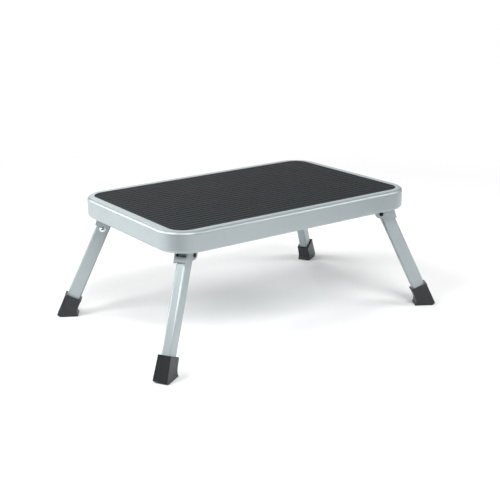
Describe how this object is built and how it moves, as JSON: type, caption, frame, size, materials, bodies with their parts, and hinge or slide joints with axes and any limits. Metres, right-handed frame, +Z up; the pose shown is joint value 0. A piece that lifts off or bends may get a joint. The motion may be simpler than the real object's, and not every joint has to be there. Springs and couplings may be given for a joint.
{
  "type": "folding step stool",
  "caption": "Low folding step stool with a rimmed sheet-metal deck, a ribbed anti-slip mat and splayed tube legs that fold under the deck.",
  "frame": {"origin": "on the floor under the centre of the deck, at the height of the soles", "axes": "+X along the deck, +Y across the deck, +Z up"},
  "size_m": [0.5202, 0.3348, 0.193],
  "materials": {
    "silver_paint": "silver-grey powder coat, satin",
    "tread_rubber": "matt charcoal, finely ribbed",
    "foot_rubber": "matt black",
    "button_chrome": "polished",
    "spring_steel": "bare spring strip",
    "fastener_steel": "zinc plated"
  },
  "bodies": {
    "deck": {"deck_tray": "silver_paint", "tread_mat": "tread_rubber", "bracket_rivets": "fastener_steel", "hinge_bracket_front_left": "silver_paint", "hinge_pin_front_left": "fastener_steel", "hinge_bracket_front_right": "silver_paint", "hinge_pin_front_right": "fastener_steel", "hinge_bracket_back_left": "silver_paint", "hinge_pin_back_left": "fastener_steel", "hinge_bracket_back_right": "silver_paint", "hinge_pin_back_right": "fastener_steel"},
    "leg_front_left": {"leg_tube_front_left": "silver_paint", "foot_front_left": "foot_rubber", "button_spring_front_left": "spring_steel"},
    "button_front_left": {"release_button_front_left": "button_chrome"},
    "leg_front_right": {"leg_tube_front_right": "silver_paint", "foot_front_right": "foot_rubber", "button_spring_front_right": "spring_steel"},
    "button_front_right": {"release_button_front_right": "button_chrome"},
    "leg_back_left": {"leg_tube_back_left": "silver_paint", "foot_back_left": "foot_rubber", "button_spring_back_left": "spring_steel"},
    "button_back_left": {"release_button_back_left": "button_chrome"},
    "leg_back_right": {"leg_tube_back_right": "silver_paint", "foot_back_right": "foot_rubber", "button_spring_back_right": "spring_steel"},
    "button_back_right": {"release_button_back_right": "button_chrome"}
  },
  "joints": [
    {"name": "leg_fold_front_left", "type": "hinge", "parent": "deck", "child": "leg_front_left", "pos_m": [-0.1757, -0.1105, 0.1532], "axis": [0.5165, -0.8563, 0], "range_deg": [0, 115.1]},
    {"name": "leg_fold_front_right", "type": "hinge", "parent": "deck", "child": "leg_front_right", "pos_m": [0.1757, -0.1105, 0.1532], "axis": [0.5165, 0.8563, 0], "range_deg": [0, 115.1]},
    {"name": "leg_fold_back_left", "type": "hinge", "parent": "deck", "child": "leg_back_left", "pos_m": [-0.1757, 0.1105, 0.1532], "axis": [-0.5165, -0.8563, 0], "range_deg": [0, 115.1]},
    {"name": "leg_fold_back_right", "type": "hinge", "parent": "deck", "child": "leg_back_right", "pos_m": [0.1757, 0.1105, 0.1532], "axis": [-0.5165, 0.8563, 0], "range_deg": [0, 115.1]},
    {"name": "button_press_front_left", "type": "slide", "parent": "leg_front_left", "child": "button_front_left", "axis": [0.5165, -0.8563, 0], "range_m": [0, 0.002], "stiffness_N_per_m": 500, "springref_m": -0.004, "deforming": ["button_spring_front_left"]},
    {"name": "button_press_front_right", "type": "slide", "parent": "leg_front_right", "child": "button_front_right", "axis": [-0.5165, -0.8563, 0], "range_m": [0, 0.002], "stiffness_N_per_m": 500, "springref_m": -0.004, "deforming": ["button_spring_front_right"]},
    {"name": "button_press_back_left", "type": "slide", "parent": "leg_back_left", "child": "button_back_left", "axis": [0.5165, 0.8563, 0], "range_m": [0, 0.002], "stiffness_N_per_m": 500, "springref_m": -0.004, "deforming": ["button_spring_back_left"]},
    {"name": "button_press_back_right", "type": "slide", "parent": "leg_back_right", "child": "button_back_right", "axis": [-0.5165, 0.8563, 0], "range_m": [0, 0.002], "stiffness_N_per_m": 500, "springref_m": -0.004, "deforming": ["button_spring_back_right"]}
  ]
}
